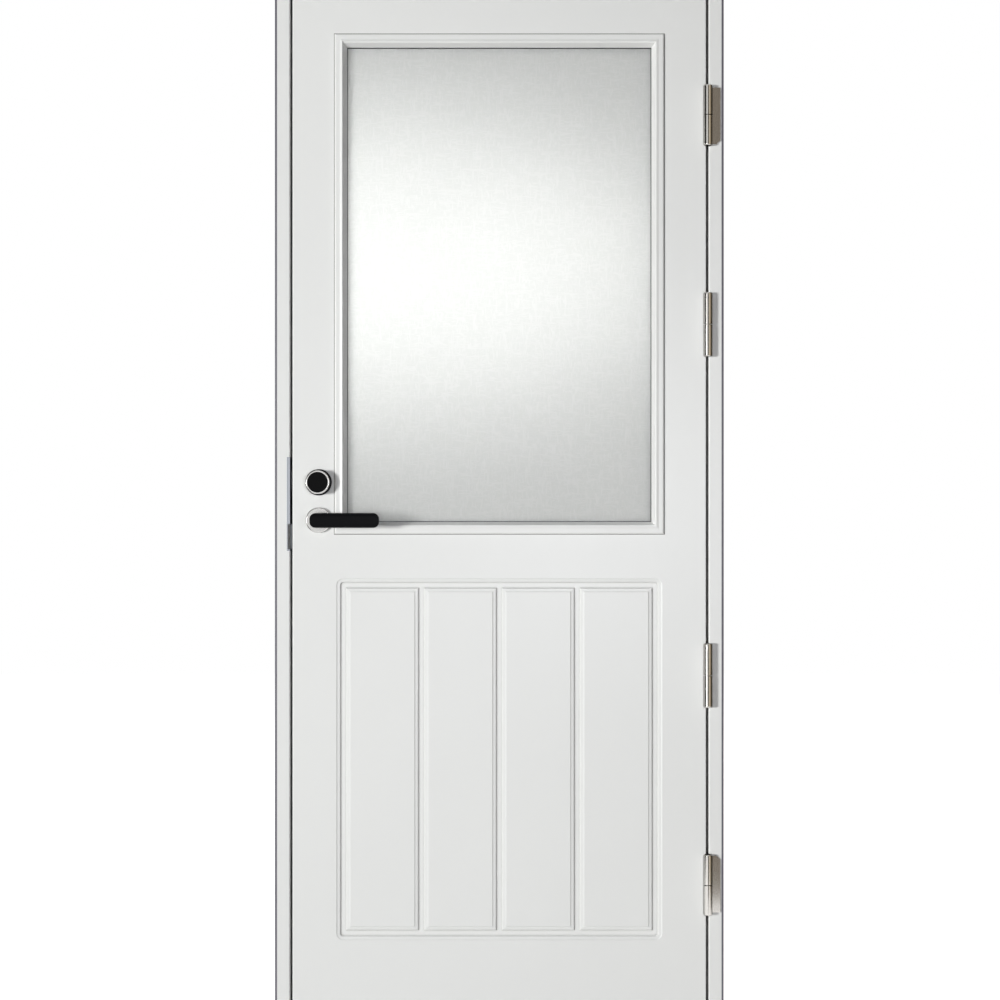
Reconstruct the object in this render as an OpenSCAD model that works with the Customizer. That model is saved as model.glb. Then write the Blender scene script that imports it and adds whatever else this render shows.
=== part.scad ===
// White outward-opening exterior door with its frame: a frosted window above, a routed board panel
// below, four lift-off hinges on the right and a mortise lock with a lever on the left.
// X runs to the right as seen from outside, Y runs inward through the wall, Z is up.
// The origin is the middle of the frame's underside. Depths are counted from the outer face.

/* [Frame] */
// Width of the frame over its outer sides
frame_w = 890; // [790:10:990]
// Height of the frame over everything
frame_h = 2090; // [2040:10:2190]
// Depth of the frame through the wall
frame_d = 105; // [95:1:120]
// Thickness of the frame boards at the stop
board_t = 44; // [40:1:48]
// Width of the stop that the leaf closes against
stop_w = 14; // [12:1:15]
// Depth of the rebate that the leaf sits in
rebate_d = 66; // [65:1:70]
// Radius of the frame's front edges
frame_edge_r = 2.5; // [1:0.5:4]
// Radius of the wall fixing holes
fixing_r = 7; // [5:0.5:8]
// Distance of the outer wall fixings from the frame's ends
fixing_end = 190; // [180:5:195]
// Distance of the inner wall fixings above and below mid height
fixing_mid = 250; // [240:5:270]
// Depth of the wall fixings behind the outer face
fixing_y = 40; // [38:1:44]

/* [Sill] */
// Height of the sill's stop behind the leaf
sill_stop_h = 42; // [40:1:46]
// Height of the sill under the leaf, at the stop
sill_back_h = 19; // [16:1:20]
// Height of the sill at its outer edge
sill_front_h = 13; // [12:1:15]
// Thickness of the metal cover on the sill
cover_t = 2; // [1.5:0.5:3]
// Overhang of the cover in front of the sill
cover_nose = 5; // [3:1:8]

/* [Leaf] */
// Gap at each side of the leaf
side_gap = 5; // [4.5:0.5:6]
// Gap above the leaf
top_gap = 5; // [4:0.5:6]
// Height of the leaf's underside above the frame's underside
leaf_lift = 27; // [26:1:30]
// Thickness of the leaf
leaf_t = 60; // [56:1:62]
// Thickness of the routed outer skin
outer_skin_t = 9; // [8:0.5:10]
// Thickness of the inner skin
inner_skin_t = 6; // [4:0.5:8]
// Radius of the leaf's edges
leaf_edge_r = 2; // [1:0.5:3]
// Width of the leaf's stiles beside the window
stile_w = 92; // [88:1:110]
// Height of the rail above the window
top_rail_h = 99; // [90:1:120]
// Height of the window's opening in the leaf
window_h = 974; // [900:2:1000]
// Height of the rail below the window
lock_rail_h = 90; // [80:1:100]
// Height of the rail at the foot of the leaf
bottom_rail_h = 100; // [80:1:130]

/* [Routed boards] */
// Number of boards in the panel
boards = 4; // [2:1:6]
// Distance of the outer grooves' centres from the leaf's sides
panel_side = 101; // [96:1:120]
// Distance of the top groove's centre below the window's opening
panel_top = 110; // [100:1:130]
// Distance of the bottom groove's centre above the leaf's underside
panel_bottom = 155; // [130:1:180]
// Half the width of a groove at the surface
groove_half = 14; // [12:0.5:16]
// Half the width of the groove's flat bottom
groove_floor_half = 4.6; // [3.6:0.2:5.4]
// Width of the bevel at the groove's edge
groove_lip = 2; // [1:0.1:3]
// Drop of that bevel
groove_step = 1.2; // [0.6:0.1:1.4]
// Fall of the crown between the bevel and the steep side
groove_crown = 0.6; // [0.2:0.1:1]
// Width of the steep side beside the flat bottom
groove_wall = 2.6; // [2:0.1:3]
// Depth of the groove
groove_depth = 5.4; // [4.4:0.1:6]

/* [Window] */
// Width of the glazing bead seen from the front
bead_w = 24; // [20:0.5:28]
// Part of the bead's width that lies inside the opening
bead_inner_w = 15.5; // [13:0.5:18]
// Height of the bead in front of the leaf
bead_proud = 6; // [5.5:0.5:10]
// Radius of the bead's outer edge
bead_r = 3.5; // [3:0.5:4]
// Width of the bead's slope beside the glass
bead_slope_w = 6.5; // [5:0.5:8]
// Width of the ledge at the head of the slope
bead_quirk_w = 2; // [1:0.1:2.2]
// Drop of that ledge below the bead's flat
bead_quirk_h = 3; // [1.5:0.1:3.2]
// Width of the bead's fall from its crest beside the ledge to its flat
bead_fall_w = 5; // [3:0.5:5.5]
// Drop of the flat below that crest
bead_fall_h = 1.4; // [0.5:0.1:1.5]
// Gap between the glass and the opening
glass_gap = 5; // [4:0.5:6]
// Thickness of each pane
pane_t = 4; // [3:0.5:5]
// Space between the panes
pane_space = 16; // [12:1:18]
// Thickness of the gaskets on each side of the glass
gasket_t = 3; // [2:0.5:4]
// Length of the blocks that carry the glass
block_l = 80; // [60:5:120]
// Distance of those blocks from the middle
block_x = 210; // [180:5:230]

/* [Hinges] */
// Outer radius of the knuckles
knuckle_r = 9; // [8:0.5:9.5]
// Space between a knuckle and the faces behind it
knuckle_gap = 0.5; // [0.4:0.1:1]
// Radius of the hinge pins
pin_r = 5; // [4:0.5:5.5]
// Running clearance of the pins
pin_play = 0.05; // [0.02:0.01:0.1]
// Length of a pin on each side of the split
pin_l = 44; // [36:1:46]
// Radius of the knuckles' rounded ends
knuckle_end_r = 3; // [2:0.5:4]
// Gap between the upper and the lower knuckle
split_gap = 1.8; // [1:0.1:2.2]
// Length of the top and the bottom hinge
end_hinge_l = 120; // [110:1:130]
// Length of the two hinges between
mid_hinge_l = 127; // [110:1:134]
// Distance of the end hinges' middles from the leaf's ends
end_hinge_at = 253; // [250:1:280]
// Distance of the middle hinges' middles from the leaf's ends
mid_hinge_at = 667; // [640:1:680]
// Thickness of the hinge plates
plate_t = 2.5; // [2:0.25:3]
// Reach of the hinge plates behind the outer face
plate_reach = 45; // [40:1:48]
// Width of the end hinges' plates on the frame's face
face_plate_w = 15; // [12:0.5:17]
// Thickness of those plates
face_plate_t = 3; // [2:0.25:3]

/* [Lock] */
// Height of the lever's axis above the frame's underside
lever_z = 1001; // [990:1:1020]
// Distance of the lever and cylinder axes from the leaf's edge
backset = 52; // [50:1:54]
// Distance between the lever's and the cylinder's axes
cylinder_rise = 75; // [73:1:80]
// Depth of the lock case into the leaf
case_depth = 81; // [78:1:84]
// Thickness of the lock case
case_t = 20; // [18:1:22]
// Thickness of the lock case's walls
case_wall = 1.5; // [1:0.25:2]
// Extent of the lock case below the lever's axis
case_below = 61; // [58:1:64]
// Extent of the lock case above the cylinder's axis
case_above = 36; // [34:1:40]
// Width of the forend
forend_w = 25; // [22:1:28]
// Thickness of the forend
forend_t = 3; // [2.5:0.5:3.5]
// Length of the forend beyond the lock case at each end
forend_tail = 27; // [24:1:32]
// Thickness of the two bolts
bolt_t = 11; // [9:0.5:12]
// Clearance round the two bolts
bolt_play = 0.3; // [0.2:0.05:0.4]
// Height of the latch bolt
latch_h = 32; // [28:1:34]
// Distance of the latch bolt's middle below the lever's axis
latch_drop = 33; // [32:1:35]
// Length of the latch bolt's head
latch_l = 32; // [30:1:34]
// Travel of the latch bolt
latch_throw = 12; // [10:0.5:12]
// Height of the dead bolt
bolt_h = 34; // [30:1:35]
// Length of the dead bolt's head
bolt_l = 36; // [34:1:38]
// Travel of the dead bolt
bolt_throw = 20; // [16:0.5:20]
// Length of the strike plate
strike_l = 186; // [180:1:200]
// Width of the strike plate's lip on the frame's face
strike_lip = 6; // [5:0.5:7]
// Thickness of the strike plate
strike_t = 3; // [2:0.5:3]

/* [Lever] */
// Radius of the roses behind the levers
rose_r = 25; // [22:0.5:27]
// Thickness of the roses
rose_t = 8; // [6:0.5:10]
// Radius of the levers' necks
neck_r = 10; // [8:0.5:10.5]
// Running clearance of the necks and the cylinder's shaft
neck_play = 0.08; // [0.04:0.02:0.1]
// Length of the grip
grip_l = 135; // [120:1:150]
// Height of the grip
grip_h = 29; // [24:0.5:30]
// Thickness of the grip
grip_t = 20; // [18:0.5:24]
// Overhang of the grip behind the lever's axis
grip_tail = 12.5; // [12:0.5:16]
// Space between the leaf and the grip
grip_gap = 42; // [38:0.5:48]
// Radius of the grip's long edges
grip_r = 8; // [5:0.5:9]
// Radius of the corners at the grip's ends
grip_end_r = 11.5; // [8:0.5:11.5]
// Side of the square spindle
spindle_a = 8; // [7:0.5:8]
// Angle through which the lever turns
lever_turn = 45; // [30:1:45]

/* [Cylinder] */
// Radius of the fixed ring on the leaf
ring_r = 26; // [24:0.5:28]
// Thickness of that ring
ring_t = 5; // [4:0.5:7]
// Radius of the turning knob
knob_r = 23.5; // [21:0.5:23.5]
// Front of the knob in front of the leaf
knob_front = 27; // [22:0.5:32]
// Radius of the knob's dark face
knob_face_r = 20.5; // [18:0.5:21]
// Radius of the cylinder's shaft
shaft_r = 8; // [6:0.5:8]
// Length of the thumbturn's bar
turn_l = 40; // [30:1:46]
// Width of the thumbturn's bar
turn_w = 11; // [8:0.5:14]

/* [Fasteners] */
// Radius of the wood screws' shanks
screw_r = 2.4; // [2:0.1:2.6]
// Radius of the wood screws' heads
screw_head_r = 4.4; // [4:0.1:4.6]
// Length of the screws in the leaf
leaf_screw_l = 35; // [30:1:45]
// Length of the screws in the frame
frame_screw_l = 24; // [20:1:25]
// Radius of the frame's corner screws
corner_screw_r = 3; // [2.5:0.25:3.5]
// Length of the frame's corner screws
corner_screw_l = 90; // [70:1:100]

/* [Seal] */
// Distance of the seal's middle from the leaf's edge
seal_in = 4.5; // [4:0.25:5]
// Half the width of the seal's bulb
seal_half = 4; // [3.5:0.25:4.25]
// Gap left between the seal and the leaf
seal_gap = 0.3; // [0.2:0.05:0.5]
// Half the width of the groove that holds the seal
kerf_half = 1.5; // [1.25:0.05:1.75]
// Depth of that groove
kerf_d = 7; // [6:0.5:9]

/* [Hidden] */
$fn = 48;

// Overshoot of a cut past the face it goes through
over = 1;
// Clearance of a part that is glued or pressed into its seat
fit_play = 0.05;
face_y = -frame_d / 2;
face_w = board_t - stop_w;
leaf_w = frame_w - 2 * face_w - 2 * side_gap;
leaf_top = frame_h - face_w - top_gap;
leaf_h = leaf_top - leaf_lift;
leaf_x = leaf_w / 2;
rebate_x = frame_w / 2 - face_w;
stop_x = frame_w / 2 - board_t;
core_t = leaf_t - outer_skin_t - inner_skin_t;
mid_y = leaf_t / 2;

window_x = leaf_x - stile_w;
window_z1 = leaf_top - top_rail_h;
window_z0 = window_z1 - window_h;
window_mid_z = (window_z0 + window_z1) / 2;
sight_w = 2 * (window_x - bead_inner_w);
sight_h = window_h - 2 * bead_inner_w;
glass_x = window_x - glass_gap;
unit_t = 2 * pane_t + pane_space;
pane_y = mid_y - unit_t / 2;
gasket_y = pane_y - gasket_t;
glass_lap = bead_inner_w - glass_gap;
gasket_in = 0.5;
spacer_in = 1;
bead_foot = 4;
bead_play = 0.3;

groove_x = leaf_x - panel_side;
groove_z0 = leaf_lift + panel_bottom;
groove_z1 = window_z0 - panel_top;

hinge_x = leaf_x + side_gap / 2;
hinge_y = -knuckle_r - knuckle_gap;
hinge_z = [leaf_top - end_hinge_at, leaf_top - mid_hinge_at, leaf_lift + mid_hinge_at,
    leaf_lift + end_hinge_at];
hinge_l = [end_hinge_l, mid_hinge_l, mid_hinge_l, end_hinge_l];
has_face_plate = [true, false, false, true];
bore_wall = 1;
pin_bore_l = pin_l + bore_wall;
pin_edge = 1.5;
plate_tie_y = hinge_y + pin_r + bore_wall;
face_plate_gap = 1;
face_plate_x = hinge_x + knuckle_r + face_plate_gap;
face_plate_end = 4;
face_plate_cut = 7;
face_plate_half = end_hinge_l / 2 - face_plate_end;
plate_screw_end = 16;
plate_screw_y = [22, 34, 22];

lock_x = -leaf_x + backset;
cylinder_z = lever_z + cylinder_rise;
case_x1 = -leaf_x + case_depth;
case_z0 = lever_z - case_below;
case_z1 = cylinder_z + case_above;
case_y = mid_y - case_t / 2;
forend_z0 = case_z0 - forend_tail;
forend_z1 = case_z1 + forend_tail;
forend_screw_in = 13;
hub_r = 10.5;
hub_t = 9;
trunnion_r = 9;
arm_half = 3;
// The arm's tip draws the latch bolt back by its throw as the lever turns through its angle
arm_l = latch_throw / sin(lever_turn);
arm_t = 8;
lug_gap = 0.4;
lug_w = 4;
// The lug ends just below the arm's tip as it stands at the end of its turn
lug_below = 0.2;
lug_z0 = lever_z + arm_l * cos(lever_turn) - lug_below;
lug_end = 2;
latch_z = lever_z - latch_drop;
latch_bevel = 8;
latch_nose = 2;
yoke_t = 2.5;
yoke_let_in = 0.5;
yoke_y = mid_y + bolt_t / 2 - yoke_let_in;
yoke_web = 12;
yoke_in = 2;
yoke_x0 = -leaf_x + latch_l - yoke_web - yoke_in;
hub_gap = 1.5;
yoke_z0 = lever_z + trunnion_r + hub_gap;
yoke_head = 5;
yoke_z1 = lever_z + arm_l + arm_half + yoke_head;
bolt_rise = 5;
bolt_z = cylinder_z + bolt_rise;
// The cam's pin moves the dead bolt by its throw as the cam swings a quarter turn over the top
cam_l = bolt_throw / 2 / sin(45);
cam_pin_r = 2.5;
cam_half = 3.5;
cam_slot_play = 0.6;
cam_slot_wall = 5;
cam_gap = 1;
tail_gap = 1.8;
tail_z0 = cylinder_z + shaft_r + tail_gap;
tail_t = 4;

strike_end = 12;
strike_z0 = latch_z - latch_h / 2 - strike_end;
strike_z1 = strike_z0 + strike_l;
strike_w = 45;
strike_play = 0.1;
strike_rim = 1.5;
latch_slot_end = 9;
latch_slot_z1 = latch_z + latch_h / 2 + latch_slot_end;
latch_slot_z0 = latch_z - latch_h / 2 - latch_slot_end;
latch_slot_side = 6.5;
latch_slot_y = mid_y + bolt_t / 2 + latch_slot_side;
pocket_play = 2;
latch_pocket = 6;

sleeve_r = 14;
sleeve_play = 0.1;
sleeve_gap = 0.2;
sleeve_l = case_y - sleeve_gap;
rose_edge = 2;
neck_short = 4;
bar_h = 14;
bar_t = 10;
bar_margin = 8;
grip_y = -grip_gap - grip_t / 2;
spindle_reach = 30;
spindle_end = 0.5;

knob_gap = 0.3;
knob_edge = 1.5;
face_recess = 1.5;
face_set_back = 0.2;
shaft_in_knob = 18;
turn_base_r = 17;
turn_base_h = 8;
turn_bar_h = 16;
turn_edge = 0.5;

screw_head_h = 2.2;
screw_play = 0.05;
screw_point = 4;
socket_r = 1.9;
socket_h = 1.2;
corner_head_r = 2 * corner_screw_r;
corner_y = [33, 86];
corner_in = 15;
sill_screw_z = 8;
sill_edge = 2;
cover_lip = 9;
cover_gap = 0.3;
cover_end = 0.5;

seal_w = leaf_w - 2 * seal_in;
seal_h = leaf_h - 2 * seal_in;
seal_mid_z = leaf_lift + leaf_h / 2;
barb_play = 0.2;
barb_half = kerf_half - barb_play;
barb_short = 0.5;
bulb_r = (rebate_d - leaf_t - seal_gap) / 2;
bulb_wall = 1;
hollow_r = (bulb_r - bulb_wall) * 0.95;

white = "#e9e9e6";
steel = "#b9bcbd";
dark_steel = "#8a8683";
black = "#17171a";
rubber = "#2a2a2c";
timber = "#c9a876";

// Moves from the door's outer face into the shared frame
module at_face() {
    translate([0, face_y, 0]) children();
}

// Moves what is drawn for the outer side to the same place on the leaf's inner side
module on_inner_side() {
    translate([0, leaf_t, 0]) mirror([0, 1, 0]) children();
}

// Rectangle with its two front corners rounded
module soft_rect(x0, y0, x1, y1, r) {
    translate([x0 + r, y0]) square([x1 - x0 - 2 * r, y1 - y0]);
    translate([x0, y0 + r]) square([x1 - x0, y1 - y0 - r]);
    for (x = [x0 + r, x1 - r]) translate([x, y0 + r]) circle(r);
}

// Rectangle with four rounded corners, centred
module round_rect(w, h, r) {
    square([w - 2 * r, h], center = true);
    square([w, h - 2 * r], center = true);
    for (sx = [-1, 1], sz = [-1, 1]) translate([sx * (w / 2 - r), sz * (h / 2 - r)]) circle(r);
}

// Box between two corners
module box(a, b) {
    translate(a) cube([b[0] - a[0], b[1] - a[1], b[2] - a[2]]);
}

// Rod along Y between two depths
module rod(r, y0, y1) {
    translate([0, y0, 0]) rotate([-90, 0, 0]) cylinder(r = r, h = y1 - y0);
}

// Rectangular ring round a w by h rectangle, from u0 to u1 outside it and y0 to y1 deep
module rect_ring(w, h, z, u0, u1, y0, y1) {
    difference() {
        box([-w / 2 - u1, y0, z - h / 2 - u1], [w / 2 + u1, y1, z + h / 2 + u1]);
        box([-w / 2 - u0, y0 - over, z - h / 2 - u0], [w / 2 + u0, y1 + over, z + h / 2 + u0]);
    }
}

// Outline across a ring of width w whose section lies between y0 and y1, out to the section's far side
module ring_outer(w, y0, y1) {
    translate([-w / 2, y0]) square([w, y1 - y0]);
    for (side = [0, 1]) mirror([side, 0]) translate([w / 2, 0]) children();
}

// What that ring leaves open between its two sides
module ring_inner(w, y0, y1) {
    difference() {
        translate([-w / 2, y0 - over]) square([w, y1 - y0 + 2 * over]);
        for (side = [0, 1]) mirror([side, 0]) translate([w / 2, 0]) children();
    }
}

// Ring round a w by h rectangle with its section drawn outward in X and inward in Y, all in one piece
module section_ring(w, h, z, y0, y1) {
    long = 2 * (w + h);
    translate([0, 0, z]) difference() {
        intersection() {
            linear_extrude(long, center = true) ring_outer(w, y0, y1) children();
            rotate([0, 90, 0]) linear_extrude(long, center = true) ring_outer(h, y0, y1) children();
        }
        intersection() {
            linear_extrude(long, center = true) ring_inner(w, y0, y1) children();
            rotate([0, 90, 0]) linear_extrude(long, center = true) ring_inner(h, y0, y1) children();
        }
    }
}

// One mitred length under a run, its section drawn outward in X and inward in Y
module mitred_length(run, u0, u1) {
    a = u0 - over;
    b = u1 + over;
    intersection() {
        rotate([0, 90, 0]) linear_extrude(run + 2 * b, center = true) children();
        rotate([90, 0, 0]) linear_extrude(6 * leaf_t, center = true)
            polygon([[-run / 2 - a, -a], [run / 2 + a, -a], [run / 2 + b, -b], [-run / 2 - b, -b]]);
    }
}

// Side of a mitred ring round a w by h rectangle: 0 is the bottom, 1 the left, 2 the top, 3 the right
module ring_side(w, h, z, side, u0, u1) {
    level = side % 2 == 0;
    translate([0, 0, z]) rotate([0, 90 * side, 0]) translate([0, 0, -(level ? h : w) / 2])
        mitred_length(level ? w : h, u0, u1) children();
}

// Countersunk screw with its head at the origin, pointing up
module screw(l, r, head_r, head_h, play = 0) {
    rotate_extrude() polygon([[0, -play], [head_r + play, -play], [head_r + play, 0],
        [r + play, head_h], [r + play, l - screw_point], [0, l + play]]);
}

module wood_screw(l) {
    difference() {
        screw(l, screw_r, screw_head_r, screw_head_h);
        translate([0, 0, -over]) cylinder(r = socket_r, h = over + socket_h, $fn = 6);
    }
}

module wood_screw_hole(l) {
    screw(l, screw_r, screw_head_r, screw_head_h, screw_play);
}

// Section of a frame board: X across it from its outer side, Y inward from its face
module board_section() {
    soft_rect(0, 0, face_w, frame_d, frame_edge_r);
    translate([0, rebate_d]) square([board_t, frame_d - rebate_d]);
}

// Groove for the seal, all round the stop
module kerf_ring() {
    rect_ring(seal_w, seal_h, seal_mid_z, -kerf_half, kerf_half, rebate_d - over, rebate_d + kerf_d);
}

// Places children at the frame's corner screws, heads outward and pointing inward
module at_corner_screws() {
    for (sx = [-1, 1], y = corner_y) {
        translate([sx * (frame_w / 2 - corner_in), y, frame_h]) mirror([0, 0, 1]) children();
        translate([sx * frame_w / 2, y, sill_screw_z]) rotate([0, -90 * sx, 0]) children();
    }
}

module corner_screw(play = 0) {
    screw(corner_screw_l, corner_screw_r, corner_head_r, corner_screw_r, play);
}

// Left jamb before its ironmongery is let in
module jamb_blank() {
    difference() {
        translate([-frame_w / 2, 0, 0]) linear_extrude(frame_h - face_w) board_section();
        box([-frame_w / 2 - over, rebate_d, frame_h - board_t],
            [-stop_x + over, frame_d + over, frame_h]);
        kerf_ring();
        for (z = [fixing_end, frame_h / 2 - fixing_mid, frame_h / 2 + fixing_mid, frame_h - fixing_end])
            translate([-frame_w / 2 - over, fixing_y, z]) rotate([0, 90, 0])
                cylinder(r = fixing_r, h = face_w + 2 * over);
        at_corner_screws() corner_screw(screw_play);
    }
}

// Outline of the strike plate: a leaf in the rebate and a lip on the frame's face
module strike_blank(play) {
    box([-rebate_x - strike_t - play, -over * play, strike_z0 - play],
        [-rebate_x + play, strike_w + play, strike_z1 + play]);
    box([-rebate_x - strike_lip - play, -over * play, strike_z0 - play],
        [-rebate_x + play, strike_t + play, strike_z1 + play]);
}

module at_strike_screws() {
    for (z = [latch_slot_z1 + strike_end, strike_z1 - strike_end])
        translate([-rebate_x, mid_y, z]) rotate([0, -90, 0]) children();
}

// Space for the latch bolt's nose, open to the frame's face
module latch_space(x0) {
    box([x0, -over, latch_slot_z0], [-rebate_x + over, latch_slot_y, latch_slot_z1]);
}

// Space for the dead bolt
module bolt_space(x0) {
    half = bolt_t / 2 + pocket_play;
    box([x0, mid_y - half, bolt_z - bolt_h / 2 - pocket_play],
        [-rebate_x + over, mid_y + half, bolt_z + bolt_h / 2 + pocket_play]);
}

module jamb_lock_side() {
    color(white) at_face() difference() {
        jamb_blank();
        strike_blank(strike_play);
        box([-rebate_x - latch_throw - latch_pocket, strike_t, latch_slot_z0],
            [-rebate_x + over, latch_slot_y, latch_slot_z1]);
        bolt_space(-rebate_x - bolt_throw - pocket_play);
        at_strike_screws() wood_screw_hole(frame_screw_l);
    }
}

module jamb_hinge_side() {
    color(white) at_face() difference() {
        mirror([1, 0, 0]) jamb_blank();
        for (i = [0:3]) hinge_plate(i, rebate_x, 0, true);
        at_hinge_screws(rebate_x, 1) wood_screw_hole(frame_screw_l);
    }
}

module head() {
    color(white) at_face() difference() {
        translate([0, 0, frame_h]) rotate([0, 90, 0]) linear_extrude(frame_w, center = true)
            board_section();
        kerf_ring();
        at_corner_screws() corner_screw(screw_play);
    }
}

module sill() {
    color(timber) at_face() difference() {
        rotate([90, 0, 90]) linear_extrude(2 * rebate_x, center = true)
            polygon([[0, 0], [frame_d, 0], [frame_d, sill_stop_h - sill_edge],
                [frame_d - sill_edge, sill_stop_h], [rebate_d + sill_edge, sill_stop_h],
                [rebate_d, sill_stop_h - sill_edge], [rebate_d, sill_back_h], [0, sill_front_h]]);
        for (sx = [-1, 1]) translate([sx * (stop_x + board_t), 0, 0])
            box([-board_t, rebate_d, -over], [board_t, frame_d + over, sill_stop_h + over]);
        kerf_ring();
        at_corner_screws() corner_screw(screw_play);
    }
}

// Metal cover on the sill, with a nose that sheds water
module sill_cover() {
    drop = sill_front_h - (sill_back_h - sill_front_h) * cover_nose / rebate_d;
    back = rebate_d - cover_gap;
    color("#aeb2b5") at_face() rotate([90, 0, 90]) linear_extrude(2 * (rebate_x - cover_end), center = true)
        polygon([[back, sill_back_h], [back, sill_back_h + cover_t],
            [-cover_nose, drop + cover_t], [-cover_nose - cover_t, drop],
            [-cover_nose - cover_t, drop - cover_lip], [-cover_nose, drop - cover_lip],
            [-cover_nose, drop], [0, sill_front_h]]);
}

// Rubber seal in the stop: a bulb before the leaf and a barb in the groove
module seal_section() {
    for (side = [-1, 1]) translate([side * (seal_half - bulb_r), rebate_d - bulb_r]) circle(bulb_r);
    translate([-(seal_half - bulb_r), rebate_d - 2 * bulb_r])
        square([2 * (seal_half - bulb_r), 2 * bulb_r]);
    translate([-barb_half, rebate_d - bulb_r])
        square([2 * barb_half, kerf_d + bulb_r - barb_short]);
}

module frame_seal() {
    front = rebate_d - 2 * bulb_r;
    color(rubber) at_face() difference() {
        section_ring(seal_w, seal_h, seal_mid_z, front, rebate_d + kerf_d - barb_short) seal_section();
        section_ring(seal_w, seal_h, seal_mid_z, front + bulb_wall, rebate_d - bulb_wall)
            translate([0, rebate_d - bulb_r])
                round_rect(2 * (seal_half - bulb_wall), 2 * (bulb_r - bulb_wall), hollow_r);
    }
}

module corner_screws() {
    color(steel) at_face() at_corner_screws() corner_screw();
}

module strike_plate() {
    color(steel) at_face() difference() {
        strike_blank(0);
        latch_space(-rebate_x - strike_lip + strike_rim);
        bolt_space(-rebate_x - strike_lip);
        at_strike_screws() wood_screw_hole(frame_screw_l);
    }
}

module frame_screws() {
    color(steel) at_face() {
        at_strike_screws() wood_screw(frame_screw_l);
        at_hinge_screws(rebate_x, 1) wood_screw(frame_screw_l);
    }
}

// Full-size slab of the leaf between two depths, its front edges rounded
module leaf_slab(t) {
    intersection() {
        translate([0, 0, leaf_lift]) linear_extrude(leaf_h) soft_rect(-leaf_x, 0, leaf_x, t, leaf_edge_r);
        rotate([0, 90, 0]) linear_extrude(leaf_w, center = true)
            soft_rect(-leaf_top, 0, -leaf_lift, t, leaf_edge_r);
    }
}

module window_cut() {
    box([-window_x, -over, window_z0], [window_x, leaf_t + over, window_z1]);
}

// Half of the routed groove's section, from its middle outward, with Y inward
module groove_half_section() {
    polygon([[0, -over], [groove_half, -over], [groove_half, 0], [groove_half - groove_lip, groove_step],
        [groove_floor_half + groove_wall, groove_step + groove_crown], [groove_floor_half, groove_depth],
        [0, groove_depth]]);
}

module groove_section() {
    groove_half_section();
    mirror([1, 0]) groove_half_section();
}

// The routed network: one upright groove at each board's edge, one along the top and the bottom,
// and a quarter turn of the cutter at each outer corner
module routed_grooves() {
    pitch = 2 * groove_x / boards;
    for (i = [0:boards]) translate([-groove_x + i * pitch, 0, groove_z0])
        linear_extrude(groove_z1 - groove_z0) groove_section();
    for (z = [groove_z0, groove_z1]) translate([0, 0, z])
        rotate([0, 90, 0]) linear_extrude(2 * groove_x, center = true) groove_section();
    for (sx = [-1, 1], top = [0, 1])
        translate([sx * groove_x, 0, top ? groove_z1 : groove_z0])
            rotate([0, top ? (sx > 0 ? 0 : -90) : (sx > 0 ? 90 : 180), 0])
                rotate([-90, 0, 0]) mirror([0, 1, 0]) rotate_extrude(angle = 90) groove_half_section();
}

// Holes for the sleeves behind the roses and rings
module sleeve_holes() {
    for (z = [lever_z, cylinder_z]) translate([lock_x, 0, z])
        rod(sleeve_r + sleeve_play, -over, leaf_t + over);
}

module outer_skin() {
    color(white) at_face() difference() {
        leaf_slab(outer_skin_t);
        window_cut();
        routed_grooves();
        sleeve_holes();
        for (i = [0:3]) hinge_plate(i, leaf_x - plate_t, 0, true);
    }
}

module inner_skin() {
    color(white) at_face() difference() {
        on_inner_side() leaf_slab(inner_skin_t);
        window_cut();
        sleeve_holes();
    }
}

// Piece of the leaf's inner frame between the skins
module core_box(x0, x1, z0, z1) {
    box([x0, outer_skin_t, z0], [x1, outer_skin_t + core_t, z1]);
}

// Outline of the forend, with round ends
module forend_bar(x0, x1, play) {
    r = forend_w / 2;
    box([x0, mid_y - r - play, forend_z0 + r], [x1, mid_y + r + play, forend_z1 - r]);
    for (z = [forend_z0 + r, forend_z1 - r]) translate([x0, mid_y, z]) rotate([0, 90, 0])
        cylinder(r = r + play, h = x1 - x0);
}

module at_forend_screws() {
    for (z = [forend_z0 + forend_screw_in, forend_z1 - forend_screw_in])
        translate([-leaf_x, mid_y, z]) rotate([0, 90, 0]) children();
}

module lock_stile() {
    play = 0.2;
    color(timber) at_face() difference() {
        core_box(-leaf_x, -window_x, leaf_lift, leaf_top);
        forend_bar(-leaf_x - over, -leaf_x + forend_t, play);
        box([-leaf_x - over, case_y - play, case_z0 - play],
            [case_x1 + play, case_y + case_t + play, case_z1 + play]);
        sleeve_holes();
        at_forend_screws() wood_screw_hole(leaf_screw_l);
    }
}

module hinge_stile() {
    color(timber) at_face() difference() {
        core_box(window_x, leaf_x, leaf_lift, leaf_top);
        for (i = [0:3]) hinge_plate(i, leaf_x - plate_t, 0, true);
        at_hinge_screws(leaf_x, -1) wood_screw_hole(leaf_screw_l);
    }
}

module top_rail() {
    color(timber) at_face() core_box(-window_x, window_x, window_z1, leaf_top);
}

module lock_rail() {
    color(timber) at_face() core_box(-window_x, window_x, window_z0 - lock_rail_h, window_z0);
}

module bottom_rail() {
    color(timber) at_face() core_box(-window_x, window_x, leaf_lift, leaf_lift + bottom_rail_h);
}

module panel_core() {
    color("#e8dfc2") at_face()
        core_box(-window_x, window_x, leaf_lift + bottom_rail_h, window_z0 - lock_rail_h);
}

module leaf_screws() {
    color(steel) at_face() {
        at_forend_screws() wood_screw(leaf_screw_l);
        at_hinge_screws(leaf_x, -1) wood_screw(leaf_screw_l);
    }
}

module pane(y) {
    box([-glass_x, y, window_z0 + glass_gap], [glass_x, y + pane_t, window_z1 - glass_gap]);
}

module outer_pane() {
    color("#e6ecea") at_face() pane(pane_y);
}

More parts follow.
